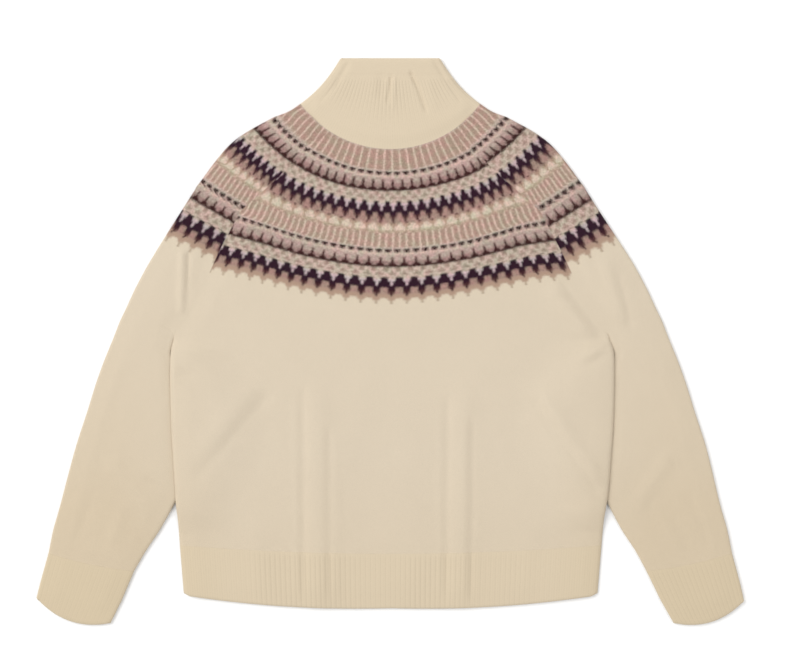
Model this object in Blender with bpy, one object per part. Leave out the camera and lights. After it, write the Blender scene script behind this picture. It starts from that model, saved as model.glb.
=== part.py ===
"""A fair isle jumper with a funnel neck and raglan sleeves, laid flat on its back.

The frame is metres with +Z up.  The origin is on the surface that the jumper lies on,
under the middle of its outline.  +Y runs from the hem to the neck and +X to the right
as the front is seen.  The sizes below are millimetres.

Two layers of cloth lie on each other.  The lower one is the back, the backs of the
sleeves and of the neck.  The upper one is the front, and the sleeves and the neck fold
round from one layer to the other.  Between underarm and crotch the body lies on the
inner part of each sleeve, which is tucked behind it.
"""

import math
from typing import NamedTuple

import bmesh
import bpy

MM = 0.001

# Cloth
WALL = 2.5  # one layer of knitting
GAP = 0.3  # between pieces at a seam, and between two layers
LOWER_TOP = WALL
UPPER_BOTTOM = WALL + GAP
UPPER_TOP = 2 * WALL + GAP
MID_HEIGHT = UPPER_TOP / 2
EDGE_DROP = 1.0  # how far an upper layer rounds down at its side edge
RIB_HEIGHT = 0.8  # a rib above the ground between two ribs
BAND_HEIGHT = 0.5  # the turned band at the top of the neck, above the same ground

# Neck
NECK_SEAM_RADIUS = 140.0
NECK_SEAM_CENTRE_Y = 381.25
NECK_SEAM_HALF = 112.5
NECK_BACK_LOW_Y = 277.5
NECK_BACK_RADIUS = 317.0
NECK_TOP_Y = 355.0
NECK_TOP_HALF = 63.0
NECK_WAIST = 0.06  # how much narrower than straight the neck is at half its height
NECK_BAND = 20.0
NECK_BAND_STEP = 2.0
NECK_RIBS = 38
NECK_BACK_COLUMNS = 18

# Hem and cuffs
HEM_RIBS = 84
HEM_CORNER = 3.5  # how much the hem rises at its rounded corners
HEM_CORNER_SHARE = 0.06
HEM_SWELL = 2.0  # how far the hem's edge sags between its middle and its corners
CUFF_RIBS = 18
CUFF_BACK_COLUMNS = 8
CUFF_JOINT_BOW = 3.0
CUFF_MIDDLE_BOW = 6.0
CUFF_EDGE_BOW = 14.0

# The body over the tucked sleeves
SLEEVE_COVER = UPPER_TOP + 0.5  # height of the body's underside where it lies on a sleeve
COVER_MARGIN = 15.0
COVER_FALL = 36.0
COVER_START_Y = 5.0
COVER_FULL_TOP_Y = -15.0
COVER_FULL_LOW_Y = -207.0
COVER_END_Y = -244.0
RIGHT_FULLNESS = 1.8  # how much further out the right sleeve's fold lies
SLEEVE_CLEAR = 1.5  # sleeve edge to body side where they lie beside each other

# Shares of the half width where the body panels have their columns
COLUMN_SHARES = (0, 0.11, 0.22, 0.33, 0.44, 0.55, 0.65, 0.73, 0.8, 0.85, 0.9, 0.95, 0.985, 1)
SLEEVE_COLUMNS = 7
SLEEVE_BACK_COLUMNS = 5


class Course(NamedTuple):
    """A row of knitting across a body panel: an arc through its two ends and its middle."""

    half_width: float
    middle_x: float
    side_y: float
    middle_y: float


class Point(NamedTuple):
    """A point in plan."""

    x: float
    y: float


class SleeveRow(NamedTuple):
    """A row across the sleeve below the underarm.

    outer_x and outer_y are on the outer fold and inner_y is on the inner edge.  tuck is
    how far the inner edge lies inside the body's side line, less than 0 where it is clear
    of the body.
    """

    outer_x: float
    outer_y: float
    inner_y: float
    tuck: float


class Fold(NamedTuple):
    """A soft ridge of cloth along a straight line."""

    x0: float
    y0: float
    x1: float
    y1: float
    half_width: float
    height: float


FRONT_YOKE = (
    Course(75.4, 0.0, 263.3, 241.25),
    Course(102.3, 0.0, 241.3, 211.6),
    Course(141.6, 0.0, 204.4, 165.8),
    Course(184.1, 0.0, 166.3, 127.5),
    Course(191.6, 0.0, 155.0, 115.0),
    Course(212.9, 0.0, 115.0, 70.0),
    Course(235.0, 0.5, 68.8, 25.0),
    Course(252.9, 1.0, 36.3, -5.0),
    Course(270.0, 1.0, 11.3, -27.5),
)
BACK_YOKE = (
    Course(85.4, 0.0, 289.2, 277.5),
    Course(108.0, 0.0, 265.0, 248.0),
    Course(143.0, 0.0, 222.0, 198.0),
    Course(180.0, 0.0, 176.0, 148.0),
    Course(190.0, 0.0, 162.0, 134.0),
    Course(214.0, 0.0, 118.0, 86.0),
    Course(236.0, 0.5, 70.0, 36.0),
    Course(254.0, 1.0, 37.0, 0.0),
    Course(270.0, 1.0, 11.3, -27.5),
)
BODY = (
    Course(276.5, 2.5, -10.0, -46.0),
    Course(277.8, 2.5, -41.0, -72.0),
    Course(277.2, 2.5, -78.0, -104.0),
    Course(276.0, 2.4, -112.0, -134.0),
    Course(273.8, 2.2, -145.0, -165.0),
    Course(271.4, 2.0, -180.0, -199.0),
    Course(269.5, 1.2, -201.0, -219.0),
    Course(266.5, 0.8, -222.0, -239.5),
    Course(264.0, 0.5, -254.0, -264.5),
)
HEM_EDGE = Course(259.0, 0.5, -317.0, -333.0)

# The sleeve's outer fold at the stations of the two yoke tables, from neck to underarm
SHOULDER_FOLD = (
    Point(112.5, 298.1),
    Point(146.0, 281.2),
    Point(197.9, 249.4),
    Point(238.5, 199.5),
    Point(246.0, 188.1),
    Point(272.5, 146.3),
    Point(300.4, 101.3),
    Point(318.1, 68.8),
    Point(330.6, 42.0),
)
SLEEVE = (
    SleeveRow(338.1, 26.3, -3.8, -SLEEVE_CLEAR),
    SleeveRow(343.5, 12.5, -18.8, -SLEEVE_CLEAR),
    SleeveRow(350.0, -3.8, -41.3, 18.7),
    SleeveRow(358.6, -25.0, -67.5, 35.7),
    SleeveRow(368.4, -52.5, -97.5, 42.5),
    SleeveRow(379.1, -86.9, -131.3, 37.4),
    SleeveRow(392.3, -127.5, -167.5, 21.1),
    SleeveRow(403.1, -166.6, -201.3, -0.8),
    SleeveRow(413.1, -205.0, -235.0, -23.5),
    SleeveRow(421.6, -235.0, -261.3, -42.3),
)
CUFF_JOINT = ((427.5, -263.8), (320.4, -286.3))  # outer fold, inner edge
CUFF_MIDDLE = ((437.6, -300.0), (336.0, -323.0))
CUFF_EDGE = ((442.6, -320.0), (350.0, -351.5))

FRONT_FOLDS = (
    Fold(-91.0, -60.0, -88.0, -330.0, 24.0, 2.6),
    Fold(91.0, -55.0, 88.0, -330.0, 24.0, 2.4),
    Fold(-169.0, -54.0, -236.0, -140.0, 22.0, 2.0),
    Fold(188.0, -60.0, 252.0, -175.0, 22.0, 2.2),
    Fold(200.0, 66.0, 250.0, 8.0, 16.0, 2.4),
)
SLEEVE_FOLDS = (
    Fold(-262.0, 108.0, -280.0, 30.0, 14.0, 3.0),
    Fold(268.0, 100.0, 290.0, 28.0, 14.0, 2.4),
    Fold(-352.0, -150.0, -300.0, -205.0, 14.0, 1.8),
    Fold(350.0, -140.0, 305.0, -210.0, 14.0, 1.8),
)

CREAM = (0.730, 0.631, 0.468)
RIB_CREAM = (0.700, 0.600, 0.440)


# Small helpers


def ramp(value, start, end):
    """Rises smoothly from 0 at start to 1 at end."""
    t = min(1.0, max(0.0, (value - start) / (end - start)))
    return t * t * (3 - 2 * t)


def blend(a, b, t):
    return tuple(p + (q - p) * t for p, q in zip(a, b))


def halved(rows):
    """The rows with one more between each two, on a smooth curve through them."""
    result = [rows[0]]
    for i in range(len(rows) - 1):
        start, end = rows[i], rows[i + 1]
        before = rows[i - 1] if i else blend(end, start, 2)
        after = rows[i + 2] if i + 2 < len(rows) else blend(start, end, 2)
        middle = [
            (9 * (b + c) - (a + d)) / 16 for a, b, c, d in zip(before, start, end, after)
        ]
        result.append(type(start)._make(middle))
        result.append(end)
    return result


def course_point(course, share):
    """The point of a course at a share of its half width, from -1 to 1."""
    rise = course.side_y - course.middle_y
    radius = (course.half_width**2 + rise**2) / (2 * rise)
    across = share * course.half_width
    lift = radius - math.sqrt(radius**2 - across**2)
    return course.middle_x + across, course.middle_y + lift


def side_x(side, y):
    """The body's side line at a height, on the side -1 or 1."""
    rows = (FRONT_YOKE[-1],) + BODY
    for upper, lower in zip(rows, rows[1:]):
        if y >= lower.side_y:
            break
    t = (y - upper.side_y) / (lower.side_y - upper.side_y)
    start = upper.middle_x + side * upper.half_width
    end = lower.middle_x + side * lower.half_width
    return start + (end - start) * t


def tuck_depth(y):
    """How far inside the body's side line the hidden sleeve reaches at a height."""
    for upper, lower in zip(SLEEVE, SLEEVE[1:]):
        if lower.inner_y <= y <= upper.inner_y:
            t = (y - upper.inner_y) / (lower.inner_y - upper.inner_y)
            return max(0.0, upper.tuck + (lower.tuck - upper.tuck) * t)
    return 0.0


def cover_lift(x, y):
    """How high the body's underside lies above the surface, over the tucked sleeves."""
    inside = min(x - side_x(-1, y), side_x(1, y) - x)
    along = min(
        ramp(y, COVER_START_Y, COVER_FULL_TOP_Y),
        ramp(y, COVER_END_Y, COVER_FULL_LOW_Y),
    )
    reach = tuck_depth(y) + COVER_MARGIN
    return SLEEVE_COVER * along * ramp(inside, reach + COVER_FALL, reach)


def fold_lift(x, y, folds):
    """The height that the folds add at a point."""
    total = 0.0
    for fold in folds:
        run_x, run_y = fold.x1 - fold.x0, fold.y1 - fold.y0
        length = math.hypot(run_x, run_y)
        along = ((x - fold.x0) * run_x + (y - fold.y0) * run_y) / length
        across = ((x - fold.x0) * run_y - (y - fold.y0) * run_x) / length
        ends = ramp(along, -fold.half_width, fold.half_width)
        ends *= ramp(along, length + fold.half_width, length - fold.half_width)
        total += fold.height * ends * math.exp(-2 * (across / fold.half_width) ** 2)
    return total


def offset_edge(points, distance):
    """Moves each point of an edge sideways, to the left of the way the edge runs."""
    moved = []
    for i, (x, y) in enumerate(points):
        ax, ay = points[max(0, i - 1)]
        bx, by = points[min(len(points) - 1, i + 1)]
        length = math.hypot(bx - ax, by - ay)
        moved.append((x - (by - ay) / length * distance, y + (bx - ax) / length * distance))
    return moved


# Walls


def strip_faces(first, second, flip):
    """Triangles between two rows of vertices of the same length."""
    for i in range(len(first) - 1):
        a, b, c, d = first[i], first[i + 1], second[i + 1], second[i]
        for corners in ((a, b, c), (a, c, d)):
            yield tuple(reversed(corners)) if flip else corners


def add_wall(name, outer, inner, closed, material):
    """A closed solid between two grids of points, given row by row in millimetres."""
    mesh = bmesh.new()
    outside = [[mesh.verts.new([MM * v for v in point]) for point in row] for row in outer]
    inside = [[mesh.verts.new([MM * v for v in point]) for point in row] for row in inner]
    if closed:
        outside = [row + row[:1] for row in outside]
        inside = [row + row[:1] for row in inside]
    faces = []
    for rows, flip in ((outside, False), (inside, True)):
        for first, second in zip(rows, rows[1:]):
            faces += strip_faces(first, second, flip)
    faces += strip_faces(inside[0], outside[0], False)
    faces += strip_faces(outside[-1], inside[-1], False)
    if not closed:
        starts = [row[0] for row in outside], [row[0] for row in inside]
        ends = [row[-1] for row in outside], [row[-1] for row in inside]
        faces += strip_faces(starts[0], starts[1], False)
        faces += strip_faces(ends[1], ends[0], False)
    for corners in faces:
        mesh.faces.new(corners)
    bmesh.ops.recalc_face_normals(mesh, faces=mesh.faces)
    data = bpy.data.meshes.new(name)
    mesh.to_mesh(data)
    mesh.free()
    data.materials.append(material)
    piece = bpy.data.objects.new(name, data)
    bpy.data.collections["jumper"].objects.link(piece)
    return piece


def knit(name, colour):
    """A matt woollen cloth of one colour."""
    material = bpy.data.materials.new(name)
    material.use_nodes = True
    shader = material.node_tree.nodes["Principled BSDF"]
    shader.inputs["Base Color"].default_value = (*colour, 1.0)
    shader.inputs["Roughness"].default_value = 0.95
    shader.inputs["Metallic"].default_value = 0.0
    return material


# Body panels


def panel_shares():
    return [-share for share in reversed(COLUMN_SHARES[1:])] + list(COLUMN_SHARES)


def upper_height(x, y):
    """The height of the front's ground above where two plain layers would lie."""
    return cover_lift(x, y) + fold_lift(x, y, FRONT_FOLDS)


def add_back(material):
    """The back panel, flat on the surface but for the stretches over the sleeves."""
    outer, inner = [], []
    for course in halved(BACK_YOKE) + halved(BODY):
        points = [course_point(course, share) for share in panel_shares()]
        lifts = [cover_lift(x, y) for x, y in points]
        outer.append([(x, y, lift) for (x, y), lift in zip(points, lifts)])
        inner.append([(x, y, lift + LOWER_TOP) for (x, y), lift in zip(points, lifts)])
    add_wall("back", outer, inner, False, material)


def add_front(material):
    """The front panel, with its soft folds, on top of the back."""
    outer, inner = [], []
    for course in halved(FRONT_YOKE) + halved(BODY):
        outer_row, inner_row = [], []
        for share in panel_shares():
            x, y = course_point(course, share)
            lift = upper_height(x, y)
            drop = EDGE_DROP if abs(share) == 1 else 0.0
            outer_row.append((x, y, UPPER_TOP + lift - drop))
            inner_row.append((x, y, UPPER_BOTTOM + lift))
        outer.append(outer_row)
        inner.append(inner_row)
    add_wall("front", outer, inner, False, material)


def hem_points(share):
    """The top and the edge of the hem rib at a share of its half width."""
    joint = course_point(BODY[-1], share)
    edge = course_point(HEM_EDGE, share)
    corner = HEM_CORNER * ramp(abs(share), 1 - HEM_CORNER_SHARE, 1)
    swell = HEM_SWELL * math.sin(math.pi * abs(share))
    return (joint[0], joint[1] - GAP), (edge[0], edge[1] + corner - swell)


def add_hem_front(material):
    """The front's hem rib: ribs in the outer points, over a plain inside."""
    columns = 2 * HEM_RIBS
    outer, inner = [[], []], [[], []]
    for column in range(columns + 1):
        share = 2 * column / columns - 1
        rib = RIB_HEIGHT * (column % 2)
        for row, (x, y) in enumerate(hem_points(share)):
            lift = upper_height(x, y)
            drop = EDGE_DROP if column in (0, columns) else 0.0
            outer[row].append((x, y, UPPER_TOP + lift + rib - drop))
            inner[row].append((x, y, UPPER_BOTTOM + lift))
    add_wall("hem_rib_front", outer, inner, False, material)


def add_hem_back(material):
    """The back's hem rib, plain because it rests flat."""
    outer, inner = [[], []], [[], []]
    for share in panel_shares():
        for row, (x, y) in enumerate(hem_points(share)):
            outer[row].append((x, y, 0.0))
            inner[row].append((x, y, LOWER_TOP))
    add_wall("hem_rib_back", outer, inner, False, material)


# Tubes laid flat


class FoldPoint(NamedTuple):
    """A point round a side fold: the inset from the fold's edge, and the height."""

    outer_inset: float
    outer_z: float
    inner_inset: float
    inner_z: float


SIDE_FOLD = (
    FoldPoint(2.2, UPPER_TOP, 3.4, UPPER_BOTTOM),
    FoldPoint(0.6, UPPER_TOP - 0.9, 2.8, UPPER_BOTTOM - 0.06),
    FoldPoint(0.0, MID_HEIGHT, 2.6, MID_HEIGHT),
    FoldPoint(0.6, 0.8, 2.8, LOWER_TOP + 0.06),
    FoldPoint(2.2, 0.0, 3.4, LOWER_TOP),
)


def toward(start, end, distance):
    """The point at a distance from start on the way to end."""
    return blend(start, end, distance / math.dist(start, end))


def bowed(start, end, share, bow):
    """A point between two others, on an arc that bulges by bow to the right of the way."""
    x, y = blend(start, end, share)
    length = math.dist(start, end)
    bulge = 4 * bow * share * (1 - share)
    return x + (end[1] - start[1]) / length * bulge, y - (end[0] - start[0]) / length * bulge


class TubeRow(NamedTuple):
    """A row of a tube with a fold at outer, open between its two inner edges.

    The bows are how far each layer's row bulges away from the neck.
    """

    front: tuple
    outer: tuple
    back: tuple
    front_bow: float
    back_bow: float


def tube_walls(rows, side, columns, back_columns, height):
    """The outer and inner grids of a flat tube; height gives what the front layer adds."""
    outer, inner = [], []
    for row in rows:
        front_bow = row.front_bow * side
        back_bow = row.back_bow * -side
        front_reach = math.dist(row.front, row.outer)
        back_reach = math.dist(row.outer, row.back)

        def front_point(inset, share):
            edge_share = 1 - inset / front_reach
            return bowed(row.front, row.outer, share * edge_share, front_bow)

        def back_point(inset, share):
            edge_share = inset / back_reach
            share = edge_share + (1 - edge_share) * share
            return bowed(row.outer, row.back, share, back_bow)

        outer_row, inner_row = [], []
        first, last = SIDE_FOLD[0], SIDE_FOLD[-1]
        for column in range(columns):
            share = column / columns
            drop = EDGE_DROP if column == 0 else 0.0
            x, y = front_point(first.outer_inset, share)
            outer_row.append((x, y, UPPER_TOP + height(x, y, column) - drop))
            x, y = front_point(first.inner_inset, share)
            inner_row.append((x, y, UPPER_BOTTOM + height(x, y, 0)))
        for point in SIDE_FOLD:
            if point.outer_z >= MID_HEIGHT:
                spots = front_point(point.outer_inset, 1), front_point(point.inner_inset, 1)
            else:
                spots = back_point(point.outer_inset, 0), back_point(point.inner_inset, 0)
            outer_row.append((*spots[0], point.outer_z))
            inner_row.append((*spots[1], point.inner_z))
        for column in range(1, back_columns + 1):
            share = column / back_columns
            outer_row.append((*back_point(last.outer_inset, share), 0.0))
            inner_row.append((*back_point(last.inner_inset, share), LOWER_TOP))
        outer.append(outer_row)
        inner.append(inner_row)
    return outer, inner


def mirrored(point, side):
    """A point of the left sleeve's tables on the side -1 or 1.

    The right sleeve lies a little fuller than the left one on its outer fold.
    """
    x, y = point
    if side > 0:
        x += RIGHT_FULLNESS * ramp(y, 170, 90) * ramp(y, -210, -120)
    return side * x, y


def sleeve_rows(side):
    """The sleeve's rows from the neck seam to the cuff seam."""
    front = [course_point(course, side) for course in halved(FRONT_YOKE)]
    back = [course_point(course, side) for course in halved(BACK_YOKE)]
    front = offset_edge(front, side * GAP)
    back = offset_edge(back, side * GAP)
    outer = [mirrored(point, side) for point in halved(SHOULDER_FOLD)]
    rows = [TubeRow(f, o, b, 0.0, 0.0) for f, o, b in zip(front, outer, back)]
    rows[0] = rows[0]._replace(
        front_bow=arc_bow(front[0], outer[0], NECK_SEAM_RADIUS),
        back_bow=arc_bow(back[0], outer[0], NECK_BACK_RADIUS),
    )
    for row in halved(SLEEVE):
        inner = side_x(side, row.inner_y) - side * row.tuck, row.inner_y
        outer = mirrored((row.outer_x, row.outer_y), side)
        rows.append(TubeRow(inner, outer, inner, 0.0, 0.0))
    outer, inner = (mirrored(point, side) for point in CUFF_JOINT)
    rows.append(TubeRow(inner, outer, inner, CUFF_JOINT_BOW, CUFF_JOINT_BOW))
    return rows


def arc_bow(start, end, radius):
    """How far an arc bulges past the straight line between two of its points."""
    half = math.dist(start, end) / 2
    return radius - math.sqrt(radius**2 - half**2)


def add_sleeve(name, side, material):
    rows = sleeve_rows(side)

    def height(x, y, _column):
        return fold_lift(x, y, SLEEVE_FOLDS)

    outer, inner = tube_walls(rows, side, SLEEVE_COLUMNS, SLEEVE_BACK_COLUMNS, height)
    add_wall(name, outer, inner, False, material)


def add_cuff(name, side, material):
    """A ribbed cuff, plain below where it rests flat."""
    start = [toward(a, b, GAP) for a, b in zip(CUFF_JOINT, CUFF_MIDDLE)]
    places = (
        (start, CUFF_JOINT_BOW),
        (CUFF_MIDDLE, CUFF_MIDDLE_BOW),
        (CUFF_EDGE, CUFF_EDGE_BOW),
    )
    rows = []
    for ends, bow in places:
        fold, edge = (mirrored(point, side) for point in ends)
        rows.append(TubeRow(edge, fold, edge, bow, bow))

    def height(_x, _y, column):
        return RIB_HEIGHT * (column % 2)

    outer, inner = tube_walls(rows, side, 2 * CUFF_RIBS, CUFF_BACK_COLUMNS, height)
    add_wall(name, outer, inner, False, material)


# Neck


def neck_front_base(share):
    radius = NECK_SEAM_RADIUS - GAP
    angle = share * math.asin(NECK_SEAM_HALF / radius)
    return radius * math.sin(angle), NECK_SEAM_CENTRE_Y - radius * math.cos(angle)


def neck_back_base(share):
    fold_y = neck_front_base(1)[1]
    course = Course(NECK_SEAM_HALF, 0.0, fold_y, NECK_BACK_LOW_Y + GAP)
    return course_point(course, share)


def neck_point(base, share, t):
    """A point at a share t of the way up the neck's wall from its seam."""
    waist = 1 - NECK_WAIST * 4 * t * (1 - t)
    top = NECK_TOP_HALF * share, NECK_TOP_Y
    x, y = blend(base, top, t)
    return x * waist, y


def neck_row(level):
    """One row round the neck: level 0 is the seam, 1 the band's foot and 2 the top edge."""

    def place(base, share):
        band = NECK_BAND / (NECK_TOP_Y - base[1])
        step = NECK_BAND_STEP / (NECK_TOP_Y - base[1])
        if level <= 1:
            t = level * (1 - band - step)
        else:
            t = 1 - band * (3 - level)
        return neck_point(base, share, min(1.0, t))

    columns = 2 * NECK_RIBS
    folds = [(side, place(neck_front_base(side), side)) for side in (-1, 1)]
    (_, left), (_, right) = folds
    width = math.dist(left, right)
    keep = 1 - 2 * SIDE_FOLD[0].outer_inset / width
    keep_inside = 1 - 2 * SIDE_FOLD[0].inner_inset / width
    outer, inner = [], []
    for column in range(1, columns):
        share = 2 * column / columns - 1
        ground = BAND_HEIGHT if level > 1 else RIB_HEIGHT * (column % 2)
        x, y = place(neck_front_base(share * keep), share * keep)
        outer.append((x, y, UPPER_TOP + ground))
        x, y = place(neck_front_base(share * keep_inside), share * keep_inside)
        inner.append((x, y, UPPER_BOTTOM))
    add_neck_fold(outer, inner, right, left, SIDE_FOLD)
    for column in range(1, NECK_BACK_COLUMNS):
        share = 1 - 2 * column / NECK_BACK_COLUMNS
        x, y = place(neck_back_base(share * keep), share * keep)
        outer.append((x, y, 0.0))
        x, y = place(neck_back_base(share * keep_inside), share * keep_inside)
        inner.append((x, y, LOWER_TOP))
    add_neck_fold(outer, inner, left, right, tuple(reversed(SIDE_FOLD)))
    return outer, inner


def add_neck_fold(outer, inner, edge, across, fold):
    """Adds the points round one side fold of the neck."""
    for point in fold:
        outer.append((*toward(edge, across, point.outer_inset), point.outer_z))
        inner.append((*toward(edge, across, point.inner_inset), point.inner_z))


def add_neck(material):
    """The funnel neck: a ribbed tube laid flat, with a smooth turned band at its top."""
    rows = [neck_row(level) for level in (0, 1 / 3, 2 / 3, 1, 2, 3)]
    outer = [row[0] for row in rows]
    inner = [row[1] for row in rows]
    add_wall("neck", outer, inner, True, material)


# The whole jumper


def clear_scene():
    for thing in list(bpy.data.objects):
        bpy.data.objects.remove(thing)
    collection = bpy.data.collections.new("jumper")
    bpy.context.scene.collection.children.link(collection)


def build():
    clear_scene()
    plain = knit("plain_knit", CREAM)
    rib = knit("rib_knit", RIB_CREAM)
    add_front(plain)
    add_back(plain)
    add_sleeve("sleeve_left", -1, plain)
    add_sleeve("sleeve_right", 1, plain)
    add_neck(rib)
    add_hem_front(rib)
    add_hem_back(rib)
    add_cuff("cuff_left", -1, rib)
    add_cuff("cuff_right", 1, rib)


build()
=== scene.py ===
"""The looks of a fair isle jumper, laid flat on its back and seen from straight above.

Each CAD piece is replaced by a thin closed shell of knitting on the same form.  Sizes
are millimetres unless a name says otherwise.  +Y runs from the hem to the neck.

UV layers: "Knit" counts stitches or ribs across and rows down.  "Yoke" is the place
round the yoke, 1 at the front's raglan seam, and the chart's row.  "Lean" is how much
that place changes by one row, square to the rows.  "Ribbing" is how strongly ribs show.
"""

import math
from functools import partialmethod
from typing import NamedTuple

import bmesh
import bpy
import numpy as np
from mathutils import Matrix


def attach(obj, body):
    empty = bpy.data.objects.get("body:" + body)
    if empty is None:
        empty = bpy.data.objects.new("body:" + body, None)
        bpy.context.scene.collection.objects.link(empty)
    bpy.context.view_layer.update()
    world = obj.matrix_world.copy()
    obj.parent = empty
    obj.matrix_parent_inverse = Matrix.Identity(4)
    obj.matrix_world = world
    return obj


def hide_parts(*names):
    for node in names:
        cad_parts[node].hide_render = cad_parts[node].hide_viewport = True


MM = 0.001

# Cloth, as in the CAD
WALL = 2.5
GAP = 0.3
LOWER_TOP = WALL
UPPER_BOTTOM = WALL + GAP
UPPER_TOP = 2 * WALL + GAP
MID_HEIGHT = UPPER_TOP / 2

# Knitting
STITCH_WIDTH = 3.0
STITCH_HEIGHT = 2.65
RIB_HEIGHT = 0.55
RIB_FADE = 7.0  # over which a rib rises from plain cloth
BAND_HEIGHT = 0.15  # of the turned band at the top of the neck

# How finely the shells are cut
RIB_COLUMNS, HEM_RIB_COLUMNS = 8, 6
SLEEVE_COLUMNS = (56, 22)  # on the upper layer and the lower one
YOKE_STEPS = 24  # from course to course, on the sleeves beside the yoke
FOLD_STEPS = 9
CLOSE_PLACES = np.array([0.06, 0.16, 0.32, 0.55])  # extra columns, in margins
CLOSE_STATIONS = np.array([0.12, 0.35, 0.8, 1.5])  # extra rows, in close steps
TUBE_MARGIN = 0.1

# How edges round
SEAM_GAP = 0.02  # left open at a seam between two panels
SIDE_ROUND = 5.5  # width, where front and back meet at the side
LIP = 0.25  # the wall's thickness at a rounded edge
MOST_DROP = WALL - LIP
SIDE_SINK = 2.05  # how far the body's lower layer sinks at its sides
TOP_SINK = SIDE_SINK + 0.2  # the same for the upper layer, which closes in on it
SINK_WIDTH = 9.0
BODY_TURN = 0.6  # courses in which the seam turns into a free side
SLEEVE_TURN = 0.5
SEAM_ROUND = 1.8  # of the groove at a seam
SEAM_DEPTH = 0.06
EDGE_ROUND = 3.0  # at a hem, cuff or neck edge
FOLD_INSET = 3.4  # from a fold's edge to where the outside is flat
FOLD_INNER_INSET = 2.6  # from the same edge to the inside of the fold
FOLD_INNER_DEPTH = 0.8
LEAST_REACH = 1.0  # flat at least, in a short row

# Neck
NECK_SEAM_RADIUS = 140.0
NECK_SEAM_CENTRE_Y = 381.25
NECK_SEAM_HALF = 112.5
NECK_BACK_LOW_Y = 277.5
NECK_TOP_Y = 355.0
NECK_TOP_HALF = 63.0
NECK_CORNER = 2.0  # how much the top edge falls at its ends
NECK_CORNER_SHARE = 0.06
NECK_WAIST = 0.06
NECK_MEAN_HEIGHT = 70.0  # from its seam to its band
NECK_BAND = 20.0
NECK_BAND_STEP = 4.0
NECK_BAND_EDGE = 1.06  # the level where it has its full height
NECK_RIBS = 38
NECK_RIBS_START = (0.25, 0.75)  # levels
NECK_RIBS_END = (1.0, 0.9)

# Hem and cuffs
HEM_RIBS = 84
HEM_CORNER = 2.5
HEM_CORNER_SHARE = 0.035
HEM_SWELL = 2.0
CUFF_RIBS = 18
# How strongly the ribs stand out, by place across: the hem, the neck and the two cuffs
HEM_RIBBING = (
    (-1, 0.06), (-0.7, 0.1), (-0.6, 0.5), (-0.25, 0.5), (-0.1, 0.2), (0.05, 0.25),
    (0.12, 0.55), (0.3, 0.45), (0.45, 0.15), (0.6, 0.3), (0.7, 0.1), (1, 0.06),
)
NECK_RIBBING = (
    (-1, 0.25), (-0.6, 0.45), (-0.3, 0.3), (-0.1, 0.6), (0.1, 0.6), (0.35, 0.2), (0.7, 0.5),
    (1, 0.25),
)
CUFF_RIBBING = {-1: 0.12, 1: 0.3}

# The body over the tucked sleeves
SLEEVE_COVER = UPPER_TOP + 0.12
COVER_MARGIN = 15.0
COVER_FALL = 70.0
COVER_START = (5, -15)  # from which y to which it rises, below the underarms
COVER_END = (-244, -207)
BODY_EASE = 24.0  # from an edge to where the front lies full
HEM_EASE = (-335, -300)  # the same in y, above the hem's edge
BACK_EASE = 30.0

# Courses across a body panel: half width, middle x, side y and middle y, from the neck
# seam to the underarm and on to the hem rib
FRONT_YOKE = (
    (75.4, 0, 263.3, 241.25),
    (102.3, 0, 241.3, 211.6),
    (141.6, 0, 204.4, 165.8),
    (184.1, 0, 166.3, 127.5),
    (191.6, 0, 155, 115),
    (212.9, 0, 115, 70),
    (235, 0.5, 68.8, 25),
    (252.9, 1, 36.3, -5),
    (270, 1, 11.3, -27.5),
)
BACK_YOKE = (
    (85.4, 0, 289.2, 277.5),
    (108, 0, 265, 248),
    (143, 0, 222, 198),
    (180, 0, 176, 148),
    (190, 0, 162, 134),
    (214, 0, 118, 86),
    (236, 0.5, 70, 36),
    (254, 1, 37, 0),
    (270, 1, 11.3, -27.5),
)
BODY = (
    (276.5, 2.5, -10, -46),
    (277.8, 2.5, -41, -72),
    (277.2, 2.5, -78, -104),
    (276, 2.4, -112, -134),
    (273.8, 2.2, -145, -165),
    (271.4, 2, -180, -199),
    (269.5, 1.2, -201, -219),
    (266.5, 0.8, -222, -239.5),
    (264, 0.5, -254, -264.5),
)
HEM_EDGE = (259, 0.5, -317, -333)
UNDERARM = len(FRONT_YOKE) - 1

# The left sleeve's outer fold beside the yoke, then outer x, outer y, inner y and tuck
# below the underarm.  tuck is how far the inner edge lies inside the body's side.
SHOULDER_FOLD = (
    (112.5, 298.1), (146, 281.2), (197.9, 249.4), (238.5, 199.5), (246, 188.1),
    (272.5, 146.3), (300.4, 101.3), (318.1, 68.8), (330.6, 42),
)
SLEEVE = (
    (338.1, 26.3, -3.8, -0.1),
    (343.5, 12.5, -18.8, 1.5),
    (350, -3.8, -41.3, 18.7),
    (358.6, -25, -67.5, 35.7),
    (368.4, -52.5, -97.5, 42.5),
    (379.1, -86.9, -131.3, 37.4),
    (392.3, -127.5, -167.5, 21.1),
    (403.1, -166.6, -201.3, -0.8),
    (413.1, -205, -235, -23.5),
    (421.6, -235, -261.3, -42.3),
)
SHOULDER_DIP = 2.6  # how far the fold sags between its first two points, by the neck
# Outer fold x and y, inner edge x and y, and how far the row bows toward the hand
CUFF_JOINT = (427.5, -263.8, 320.4, -286.3, 3)
CUFF_MIDDLE = {
    -1: (437.6, -300, 336, -323, 6),
    1: (437.6, -301.5, 338.3, -323, 6),
}
CUFF_EDGE = {
    -1: (442.6, -320, 350, -351.5, 14),
    1: (442.6, -323.5, 354.5, -351.5, 13),
}
BACK_BOW_STATION = 10  # above it, the rows bow less on the back layer
BACK_BOW_SHARE = 0.3
RIGHT_FULLNESS = 1.8  # how much further out the right sleeve's fold lies
FULLNESS_START = (170, 90)
FULLNESS_END = (-210, -120)
SLEEVE_BOWS = ((0, 2.3), (1, 2), (2, 2.3), (3, 0.8), (4, 0), (18, 0), (19, 3))

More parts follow.
